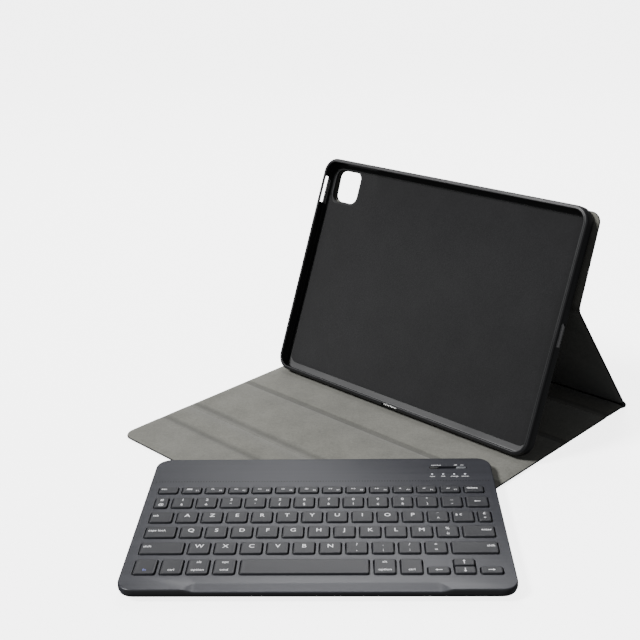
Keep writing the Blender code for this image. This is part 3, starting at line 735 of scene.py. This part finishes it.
def make_tray():
    low, high = span("tray_shell", tray_frame)
    front = high.z
    wall = TRAY_WALL
    loops = []
    radii = (TRAY_CORNER,) * 4

    def ring(inset, behind):
        loops.append([(x, y, front - behind)
                      for x, y in outline(low, high, radii, inset, 10)])

    depth = high.z - low.z
    for step in range(5):
        angle = math.radians(90 * step / 4)
        ring(TRAY_BACK_ROUND * (1 - math.sin(angle)),
             depth - TRAY_BACK_ROUND * (1 - math.cos(angle)))
    ring(0.0, 3.0)
    for step in range(1, 6):
        angle = math.radians(90 * step / 5)
        ring(TRAY_FRONT_ROUND * (1 - math.cos(angle)),
             0.35 + TRAY_FRONT_ROUND * (1 - math.sin(angle)))
    # (inset, depth behind the front) over the lip, down the inner wall and onto the bed
    for inset, behind in ((2.0, 0.12), (2.3, 0.0), (2.75, 0.0), (3.02, 0.1), (3.1, 0.35),
                          (wall + TRAY_LIP, 0.9), (wall + TRAY_LIP - 0.25, LIP_DEPTH),
                          (wall, LIP_DEPTH + 0.3), (wall, BED_DEPTH - 0.8),
                          (wall + 0.25, BED_DEPTH - 0.25), (wall + 0.8, BED_DEPTH)):
        ring(inset, behind)
    bm = bmesh.new()
    loft(bm, loops)
    tray = finish_piece("tray_body", bm, "tray", tray_frame)
    centre_y = (low.y + high.y) / 2
    middle_z = front - depth / 2
    notch_x, notch_y = NOTCH_HALF
    slot = SLOT_FROM_CORNER
    # (name, low x, high x, low y, high y) of the openings through the side walls
    wall_cuts = (("port", high.x - CUT_IN, high.x + CUT_OUT, centre_y - PORT_HALF[0],
                  centre_y + PORT_HALF[0]),
                 ("volume", low.x + slot, low.x + slot + VOLUME_LENGTH, high.y - CUT_IN,
                  high.y + CUT_OUT),
                 ("power", low.x - CUT_OUT, low.x + CUT_IN, high.y - slot - POWER_LENGTH,
                  high.y - slot))
    cutters = [rounded_cutter(name, (x0, y0, middle_z - PORT_HALF[1]),
                              (x1, y1, middle_z + PORT_HALF[1]), 0.0, tray_frame)
               for name, x0, x1, y0, y1 in wall_cuts]
    cutters.append(rounded_cutter("notch", (-notch_x, -notch_y, -notch_y),
                                  (notch_x, notch_y, CUT_OUT), 0.4, tray_frame))
    cutters.append(window_cutter("tray_window", 0.4))
    cut_and_remove(tray, cutters)
    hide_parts("tray_shell")
    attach(tray, "tray")
    make_bed_pad(low, high, front)
    make_foot_bar()


def make_bed_pad(low, high, front):
    """A thin soft pad on the tray's bed, with a window for the camera."""
    bm = bmesh.new()
    inset = PAD_INSET
    slab(bm, (low.x + inset, low.y + inset), (high.x - inset, high.y - inset), (PAD_CORNER,) * 4,
         rounding(front - BED_DEPTH + 0.02, front - BED_DEPTH + 0.5, 0.2), 8)
    pad = finish_piece("tray_pad", bm, "pad", tray_frame)
    cut_and_remove(pad, [window_cutter("pad_window", 2.0)])
    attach(pad, "tray")


def make_foot_bar():
    low, high = span("foot_bar", tray_frame)
    radius = (high.z - low.z) / 2
    bm = bmesh.new()
    loops = []
    for x, share in ((low.x, 0.75), (low.x + 0.25, 1.0), (high.x - 0.25, 1.0), (high.x, 0.75)):
        loops.append([(x, y, z) for y, z in circle(0.0, 0.0, radius * share, 20)])
    loft(bm, loops)
    bar = finish_piece("steel_foot", bm, "steel", tray_frame)
    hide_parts("foot_bar")
    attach(bar, "foot")


make_tray()

# ---------------------------------------------------------------- keyboard


def lip_share(x):
    """1 along the finger lip, fading to 0 past its ends."""
    t = (LIP_HALF + LIP_FADE / 2 - abs(x)) / LIP_FADE
    t = min(max(t, 0.0), 1.0)
    return t * t * (3 - 2 * t)


def key_spans():
    """(node, low x, high x, low y, high y, bottom, top) of every key."""
    found = []
    for node in sorted(frame["nodes"]):
        low, high = span(node, keyboard_frame) if "key" in node else (None, None)
        if node in ROW_WIDTHS:
            widths = ROW_WIDTHS[node]
            gap = (high.x - low.x - sum(widths)) / (len(widths) - 1)
            left = low.x
            for width in widths:
                found.append((node, left, left + width, low.y, high.y, low.z, high.z))
                left += width + gap
        elif node.startswith("key_") and node not in ("key_plate", "key_membrane"):
            found.append((node, low.x, high.x, low.y, high.y, low.z, high.z))
    return found


def make_deck(keys):
    low, high = deck_low, deck_high
    radii = (DECK_CORNER,) * 4
    top = high.z
    loops = []

    def spread(points):
        """More points along the front edge, where the lip starts and ends."""
        first_run = 11
        start, end = points[first_run - 1], points[first_run]
        extra = []
        stops = []
        for sign in (-1, 1):
            for step in range(9):
                stops.append(sign * (LIP_HALF + LIP_FADE / 2 - LIP_FADE * step / 8))
        stops = sorted(stop for stop in stops if start[0] < stop < end[0])
        for stop in stops:
            t = (stop - start[0]) / (end[0] - start[0])
            extra.append((stop, start[1] + t * (end[1] - start[1])))
        return points[:first_run] + extra + points[first_run:]

    def ring(inset, z, lip_inset=0.0, lip_drop=0.0):
        loop = []
        for x, y in spread(outline(low, high, radii, inset, 10)):
            share = lip_share(x) if y < low.y + 3.0 else 0.0
            loop.append((x, y + lip_inset * share, z - lip_drop * share))
        loops.append(loop)

    ring(0.6, low.z)
    ring(0.15, low.z + 0.15)
    ring(0.0, low.z + 0.6)
    ring(0.0, top - 1.6, 0.0, LIP_DROP * 0.75)
    for step in range(1, 5):
        angle = math.radians(90 * step / 4)
        drop = LIP_DROP * (1.0 if step > 1 else 0.9)
        ring(WALL_TOP_ROUND * (1 - math.cos(angle)),
             top - WALL_TOP_ROUND * (1 - math.sin(angle)), 0.0, drop)
    for share in (0.2, 0.4, 0.6, 0.8, 1.0):
        ring(WALL_TOP_ROUND + 0.4 * share, top, LIP_REACH * share, LIP_DROP * (1 - share))
    bm = bmesh.new()
    loft(bm, loops)
    deck = finish_piece("keyboard_top", bm, "deck", keyboard_frame, 30.0)
    cutter_mesh = bmesh.new()
    gap = KEY_HOLE_GAP
    boxes = {node + str(x0): (x0, x1, y0, y1) for node, x0, x1, y0, y1, z0, z1 in keys}
    up, down = (boxes.pop(name) for name in list(boxes) if name.startswith(("key_up", "key_down")))
    boxes["up_down"] = (min(up[0], down[0]), max(up[1], down[1]), min(up[2], down[2]),
                        max(up[3], down[3]))
    for x0, x1, y0, y1 in boxes.values():
        slab(cutter_mesh, (x0 - gap, y0 - gap), (x1 + gap, y1 + gap), (KEY_CORNER + gap,) * 4,
             ((0.0, deck_low.z + KEY_HOLE_FLOOR), (0.0, top + 1.0)), 3)
    holes = finish_piece("cutter_keys", cutter_mesh, "dark_hole", keyboard_frame)
    connect_low, _ = span("connect_button", keyboard_frame)
    _, slider_high = span("power_slider", keyboard_frame)
    spare = SLOT_MARGIN
    slot = rounded_cutter("switch_slot",
                          (connect_low.x - spare, connect_low.y - spare, top - 1.6),
                          (slider_high.x + spare, slider_high.y + spare, top + 1.0),
                          (slider_high.y - connect_low.y) / 2 + 0.45, keyboard_frame)
    cut_and_remove(deck, [holes, slot])
    deck.data.materials.append(materials["bottom"])
    inverse = keyboard_frame.inverted()
    for face in deck.data.polygons:
        middle = inverse @ face.center / MM
        outer = abs(middle.x) > high.x - 1.0 or abs(middle.y) > high.y - 1.0
        if outer and abs(face.normal.z) < 0.8:
            face.material_index = 1
    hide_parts("keyboard_deck")
    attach(deck, "keyboard")


def key_cap(bm, x0, x1, y0, y1, bottom, top):
    """A key with a slight taper, soft edges and a shallow dish."""
    layers = [(0.0, bottom), (0.05, bottom + 0.4), (0.35, top - KEY_EDGE)]
    for step in range(1, 4):
        angle = math.radians(90 * step / 3)
        layers.append((0.35 + KEY_EDGE * (1 - math.cos(angle)),
                       top - KEY_EDGE * (1 - math.sin(angle))))
    layers.append((1.8, top - KEY_DISH * 0.55))
    layers.append((3.0, top - KEY_DISH))
    slab(bm, (x0, y0), (x1, y1), (KEY_CORNER,) * 4, layers, 4)


LEGENDS = {
    "key_esc": ["esc"], "key_delete": ["delete"], "key_backspace": ["arrow_left"],
    "key_tab": ["tab"], "key_caps": ["caps lock"], "key_enter": ["end:enter"],
    "key_shift_left": ["shift"], "key_shift_right": ["end:shift"], "key_fn": ["blue:fn"],
    "key_ctrl_left": ["low:ctrl"], "key_option_left": ["high:alt", "low:option"],
    "key_command": ["high:opt", "low:cmd"], "key_space": [],
    "key_option_right": ["high:alt", "low:option"], "key_ctrl_right": ["low:ctrl"],
    "key_left": ["arrow_left"], "key_right": ["arrow_right"], "key_up": ["arrow_up"],
    "key_down": ["arrow_down"],
    "function_row_keys": ["F%d" % number for number in range(1, 13)],
    "number_row_keys": ["#|@", "1|à", "2|é", "3|\"", "4|'", "5|(", "6|§", "7|è", "8|!", "9|ç",
                        "0|à", "°|)", "_|-"],
    "upper_row_keys": list("AZERTYUIOP") + ["¨|^", "$ €", "£|*"],
    "home_row_keys": list("QSDFGHJKLM") + ["%|ù"],
    "lower_row_keys": list("WXCVBN") + ["?|,", ".|;", "/|:", "+|="],
}


def text_points(bm, text, x, y, z, size, align="CENTER"):
    """Adds one raised word to bm, centred on x and y."""
    curve = bpy.data.curves.new("word", "FONT")
    curve.body = text
    curve.size = size
    curve.align_x = align
    curve.align_y = "CENTER"
    curve.resolution_u = 3
    curve.extrude = INK_HALF
    curve.offset = INK_BOLD * size / LETTER_SIZE
    holder = bpy.data.objects.new("word", curve)
    bpy.context.scene.collection.objects.link(holder)
    bpy.context.view_layer.update()
    evaluated = holder.evaluated_get(bpy.context.evaluated_depsgraph_get())
    mesh = bpy.data.meshes.new_from_object(evaluated)
    bpy.data.objects.remove(holder, do_unlink=True)
    mesh.transform(Matrix.Translation((x, y, z)))
    bm.from_mesh(mesh)
    bpy.data.meshes.remove(mesh)


def arrow_shape(bm, direction, x, y, z, size):
    """A small arrow: a bar and a triangular head, raised like the words."""
    turn = {"arrow_right": 0, "arrow_up": 90, "arrow_left": 180, "arrow_down": 270}[direction]
    points = [(-1.0, -0.12), (0.35, -0.12), (0.35, -0.42), (1.0, 0.0), (0.35, 0.42), (0.35, 0.12),
              (-1.0, 0.12)]
    rotation = Matrix.Rotation(math.radians(turn), 2)
    places = [rotation @ Vector(point) * size for point in points]
    plate(bm, [(x + place.x, y + place.y) for place in places], z - INK_HALF, z + INK_HALF)


def legend(bm, blue, words, x0, x1, y0, y1, z):
    """Words of one key: one big letter, a small word, or a pair above each other."""
    x, y = (x0 + x1) / 2, (y0 + y1) / 2
    for word in words:
        place, _, rest = word.partition(":")
        if word.startswith("arrow"):
            arrow_shape(bm, word, x, y, z, SMALL_SIZE)
        elif place in ("low", "high", "blue") and rest:
            shift = {"low": -0.24, "high": 0.27, "blue": -0.24}[place] * (y1 - y0)
            text_points(blue if place == "blue" else bm, rest, x, y + shift, z, WORD_SIZE)
        elif place == "end":
            text_points(bm, rest, x1 - 1.8, y + 0.1 * (y1 - y0), z, WORD_SIZE, "RIGHT")
        elif "|" in word and len(word) > 1:
            upper, lower = word.split("|")
            text_points(bm, upper, x, y + 0.22 * (y1 - y0), z, PAIR_SIZE)
            text_points(bm, lower, x, y - 0.22 * (y1 - y0), z, PAIR_SIZE)
        elif len(word) == 1:
            text_points(bm, word, x, y + 0.1 * (y1 - y0), z, LETTER_SIZE)
        elif word.startswith("F") and word[1:].isdigit():
            text_points(bm, word, x1 - 2.7, y - 1.3, z, SMALL_SIZE)
            function_icon(bm, int(word[1:]), x - 1.5, y + 0.5, z)
        else:
            text_points(bm, word, x0 + 1.8, y + 0.1 * (y1 - y0), z, WORD_SIZE, "LEFT")


def bar_shape(bm, x0, x1, y0, y1, z):
    plate(bm, [(x0, y0), (x1, y0), (x1, y1), (x0, y1)], z - INK_HALF, z + INK_HALF)


def ring_shape(bm, x, y, z, radius, width):
    """A flat ring, closed all round."""
    count = 16
    rings = []
    for r, height in ((radius, z - INK_HALF), (radius, z + INK_HALF),
                      (radius - width, z + INK_HALF), (radius - width, z - INK_HALF)):
        rings.append([bm.verts.new((*point, height)) for point in circle(x, y, r, count)])
    for k in range(4):
        ring, following = rings[k], rings[(k + 1) % 4]
        for i in range(count):
            j = (i + 1) % count
            bm.faces.new((ring[i], ring[j], following[j], following[i]))


def triangle_shape(bm, x, y, z, size, sign):
    points = [(x - sign * size, y - size), (x + sign * size, y), (x - sign * size, y + size)]
    plate(bm, points, z - INK_HALF, z + INK_HALF)


def function_icon(bm, number, x, y, z):
    """Plain generic pictures for the function keys."""
    if number == 1:
        for row in range(3):
            bar_shape(bm, x - 1.8, x + 1.8, y - 0.75 + row * 0.6, y - 0.4 + row * 0.6, z)
    elif number == 2:
        ring_shape(bm, x - 0.2, y + 0.2, z, 0.85, 0.25)
        bar_shape(bm, x + 0.5, x + 1.3, y - 0.9, y - 0.65, z)
    elif number in (3, 4, 5, 6):
        half = 0.75
        for x0, x1, y0, y1 in ((-1.1, 1.1, half - 0.2, half), (-1.1, 1.1, -half, -half + 0.2),
                               (-1.1, -0.9, -half, half), (0.9, 1.1, -half, half)):
            bar_shape(bm, x + x0, x + x1, y + y0, y + y1, z)
        if number == 3:
            bar_shape(bm, x - 0.9, x + 0.9, y - 0.1, y + 0.1, z)
        elif number == 5:
            bar_shape(bm, x + 0.1, x + 0.3, y - half, y + half, z)
        elif number == 6:
            bar_shape(bm, x - 0.4, x + 0.4, y - 0.3, y + 0.3, z)
    elif number in (7, 9):
        sign = -1 if number == 7 else 1
        triangle_shape(bm, x - 0.7, y, z, 0.6, sign)
        triangle_shape(bm, x + 0.7, y, z, 0.6, sign)
    elif number == 8:
        triangle_shape(bm, x - 0.8, y, z, 0.6, 1)
        bar_shape(bm, x + 0.2, x + 0.5, y - 0.6, y + 0.6, z)
        bar_shape(bm, x + 0.8, x + 1.1, y - 0.6, y + 0.6, z)
    else:
        triangle_shape(bm, x - 0.4, y, z, 0.6, -1)
        bar_shape(bm, x - 1.1, x - 0.6, y - 0.3, y + 0.3, z)
        for step in range(number - 10):
            bar_shape(bm, x + 0.5 + 0.5 * step, x + 0.7 + 0.5 * step, y - 0.5, y + 0.5, z)


def make_keys(keys):
    by_node = {}
    for node, *box in keys:
        by_node.setdefault(node, []).append(box)
    for node, boxes in by_node.items():
        caps = bmesh.new()
        ink = bmesh.new()
        blue = bmesh.new()
        for index, (x0, x1, y0, y1, z0, z1) in enumerate(boxes):
            key_cap(caps, x0, x1, y0, y1, z0, z1)
            words = LEGENDS[node]
            words = words[index:index + 1] if node in ROW_WIDTHS else words
            legend(ink, blue, words, x0, x1, y0, y1, z1 - KEY_DISH + 0.03)
            if words and words[0] in ("F", "J") and node == "home_row_keys":
                bar_shape(caps, (x0 + x1) / 2 - 1.6, (x0 + x1) / 2 + 1.6, y0 + 2.6, y0 + 3.0,
                          z1 - KEY_DISH + 0.1)
        piece = finish_piece(node + "_caps", caps, "key", keyboard_frame)
        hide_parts(node)
        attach(piece, node)
        for extra, kind in ((ink, "legend"), (blue, "legend_blue")):
            if extra.verts:
                marks = finish_piece(node + "_" + kind, extra, kind, keyboard_frame)
                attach(marks, node)
            else:
                extra.free()


def make_deck_details():
    """Dotted line, indicator labels and the two controls in their slot."""
    top = deck_high.z
    dots = bmesh.new()
    for index in range(DOT_COUNT):
        x = -DOT_ROW_HALF + 2 * DOT_ROW_HALF * index / (DOT_COUNT - 1)
        plate(dots, circle(x, DOT_ROW_Y, DOT_RADIUS, 8), top - 0.02, top + 0.03)
    piece = finish_piece("deck_dots", dots, "dark_hole", keyboard_frame)
    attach(piece, "keyboard")
    connect_low, connect_high = span("connect_button", keyboard_frame)
    slider_low, slider_high = span("power_slider", keyboard_frame)
    lamp_low, lamp_high = span("light_pipe_bar", keyboard_frame)
    ink = bmesh.new()
    lamps = bmesh.new()
    text_points(ink, "connect", (connect_low.x + connect_high.x) / 2 + 1.5, connect_high.y + 2.3,
                top + 0.01, SMALL_SIZE)
    text_points(ink, "off    on", slider_high.x - 5.0, connect_high.y + 2.3, top + 0.01,
                SMALL_SIZE)
    lamp_y = (lamp_low.y + lamp_high.y) / 2
    for index, word in enumerate(("caps", "link", "charge", "power")):
        x = lamp_low.x + 2.0 + (lamp_high.x - lamp_low.x - 4.0) * index / 3
        text_points(ink, word, x, lamp_y - 3.0, top + 0.01, 2.0)
        plate(lamps, circle(x, lamp_y, LAMP_RADIUS, 16), top - 0.02, top + 0.06)
    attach(finish_piece("deck_lamps", lamps, "lamp", keyboard_frame), "keyboard")
    piece = finish_piece("deck_labels", ink, "legend", keyboard_frame)
    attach(piece, "keyboard")
    make_control("connect_button", connect_low, connect_high, "rubber", 0)
    make_control("power_slider", slider_low, slider_high, "switch", 4)


def make_control(node, low, high, kind, ribs):
    bm = bmesh.new()
    radius = (high.y - low.y) / 2 - 0.05
    slab(bm, low[:2], high[:2], (radius,) * 4,
         [(0.0, low.z), (0.0, high.z - 0.3), (0.1, high.z - 0.1), (0.35, high.z)], 6)
    middle_x = (low.x + high.x) / 2
    for index in range(ribs):
        x = middle_x + (index - (ribs - 1) / 2) * 0.8
        bar = outline((x - 0.15, low.y + 0.5), (x + 0.15, high.y - 0.5), (0.1,) * 4, 0.0, 2)
        plate(bm, bar, high.z - 0.05, high.z + 0.15)
    piece = finish_piece(node + "_top", bm, kind, keyboard_frame)
    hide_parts(node)
    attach(piece, node)


keys = key_spans()
make_deck(keys)
make_keys(keys)
make_deck_details()


def dress_cad_nodes():
    """Materials for the CAD nodes that stay in sight."""
    kinds = {"keyboard_bottom": "bottom", "light_pipe_bar": "lamp", "usb_socket": "steel",
             "key_plate": "steel", "flap_magnet_left": "steel", "flap_magnet_right": "steel"}
    for node, obj in frame["nodes"].items():
        kind = kinds.get(node, "rubber" if node.startswith("foot_") else "inner")
        obj.data.materials.clear()
        obj.data.materials.append(materials[kind])


dress_cad_nodes()

# ---------------------------------------------------------------- stage, lights, camera


def make_floor():
    bm = bmesh.new()
    bmesh.ops.create_grid(bm, x_segments=1, y_segments=1, size=12.0)
    mesh = bpy.data.meshes.new("floor")
    bm.to_mesh(mesh)
    bm.free()
    floor = bpy.data.objects.new("floor", mesh)
    floor.location = (0, 0, -0.0003)
    bpy.context.scene.collection.objects.link(floor)
    paper = bpy.data.materials.new("pale_floor")
    paper.use_nodes = True
    shader = paper.node_tree.nodes["Principled BSDF"]
    shader.inputs["Base Color"].default_value = (0.88, 0.88, 0.88, 1.0)
    shader.inputs["Roughness"].default_value = 0.8
    shader.inputs["Emission Color"].default_value = (1.0, 1.0, 1.0, 1.0)
    shader.inputs["Emission Strength"].default_value = 4.0
    mesh.materials.append(paper)
    floor.visible_diffuse = False
    floor.visible_glossy = False


def add_light(name, kind, place, target, power, **settings):
    light = bpy.data.lights.new(name, kind)
    light.energy = power
    for key, value in settings.items():
        setattr(light, key, value)
    holder = bpy.data.objects.new(name, light)
    holder.location = place
    holder.rotation_euler = (Vector(target) - Vector(place)).to_track_quat("-Z", "Y").to_euler()
    bpy.context.scene.collection.objects.link(holder)


def make_lights():
    world = bpy.data.worlds.new("studio")
    bpy.context.scene.world = world
    world.use_nodes = True
    world.node_tree.nodes["Background"].inputs["Color"].default_value = (0.95, 0.97, 1.0, 1.0)
    world.node_tree.nodes["Background"].inputs["Strength"].default_value = 0.14
    add_light("key_sun", "SUN", (-0.42, -0.75, 0.85), (0, 0, 0), 5.2, angle=math.radians(14))
    add_light("back_box", "AREA", (-0.7, 0.9, 1.1), (0, 0, 0.05), 9.0, shape="RECTANGLE",
              size=1.0, size_y=0.5)
    add_light("side_box", "AREA", (1.3, -0.2, 0.6), (0, 0, 0.05), 1.0, shape="RECTANGLE",
              size=0.8, size_y=0.8)
    add_light("top_box", "AREA", (-0.35, 0.26, 1.0), (0.13, -0.21, 0), 4.0, shape="RECTANGLE",
              size=0.35, size_y=0.35)


def make_camera():
    yaw, pitch, roll = (math.radians(a) for a in (CAMERA_YAW, CAMERA_PITCH, CAMERA_ROLL))
    forward = Vector((-math.sin(yaw) * math.cos(pitch), math.cos(yaw) * math.cos(pitch),
                      -math.sin(pitch)))
    right = Vector((math.cos(yaw), math.sin(yaw), 0.0))
    down = forward.cross(right)
    rolled = right * math.cos(roll) + down * math.sin(roll)
    rotation = Matrix((rolled, rolled.cross(-forward) * -1, -forward)).transposed()
    camera = bpy.data.cameras.new("camera")
    camera.lens = CAMERA_LENS
    camera.sensor_width = 36.0
    camera.clip_start = 0.01
    holder = bpy.data.objects.new("camera", camera)
    holder.matrix_world = Matrix.Translation(CAMERA_PLACE) @ rotation.to_4x4()
    bpy.context.scene.collection.objects.link(holder)
    bpy.context.scene.camera = holder


make_floor()
make_lights()
make_camera()
bpy.context.view_layer.update()
